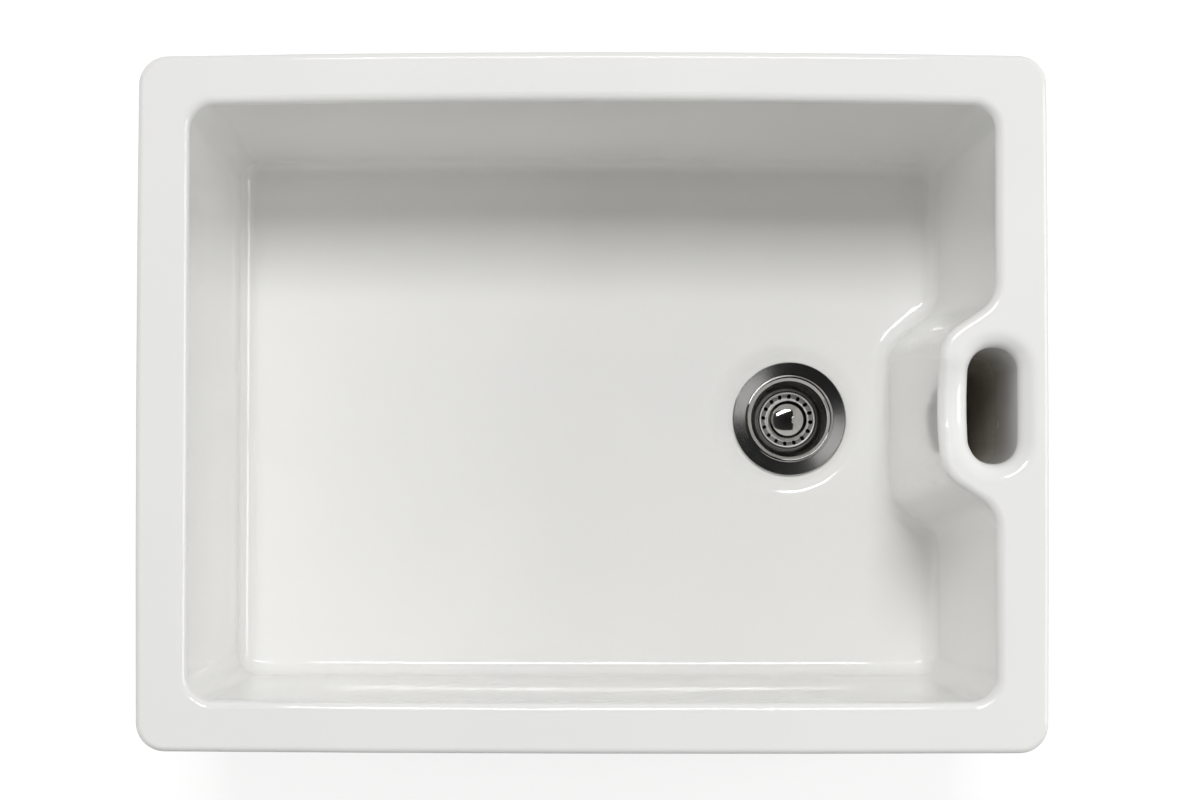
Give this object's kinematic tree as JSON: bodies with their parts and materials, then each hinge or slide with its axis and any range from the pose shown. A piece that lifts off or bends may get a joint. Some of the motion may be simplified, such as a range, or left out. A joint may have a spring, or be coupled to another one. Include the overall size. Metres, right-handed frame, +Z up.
{
  "type": "belfast sink",
  "caption": "White glazed fireclay Belfast sink with a weir overflow in the right-hand wall and a slotted basket-strainer waste",
  "frame": {"origin": "middle of the sink's flat underside, where it stands on its bearers", "axes": "+X along the sink to the weir end, +Y to the back, +Z up"},
  "size_m": [0.595, 0.458, 0.3005],
  "materials": {
    "white_glaze": "glossy white glaze over fireclay, bare clay on the underside",
    "chromed_brass": "chrome plate, finely turned on the flange",
    "black_rubber": "matt black rubber",
    "white_nylon": "natural nylon",
    "plain_brass": "machined brass",
    "grey_moulding": "moulded acetal",
    "spring_steel": "oiled spring steel",
    "stainless": "turned stainless steel",
    "polished_stainless": "polished stainless steel"
  },
  "bodies": {
    "sink": {"sink_bowl": "white_glaze", "waste_body": "chromed_brass", "flange_washer": "black_rubber", "base_washer": "black_rubber", "slip_washer": "white_nylon", "backnut": "plain_brass", "stem_guide": "grey_moulding", "guide_clip": "spring_steel"},
    "plug": {"plug_seal": "black_rubber", "seal_plate": "stainless", "stem_nut": "plain_brass", "plug_stem": "stainless", "stem_ring": "black_rubber", "strainer_basket": "polished_stainless", "strainer_knob": "polished_stainless"}
  },
  "joints": [
    {"name": "plug_lift", "type": "slide", "parent": "sink", "child": "plug", "axis": [0, 0, 1], "range_m": [0, 0.28]}
  ]
}
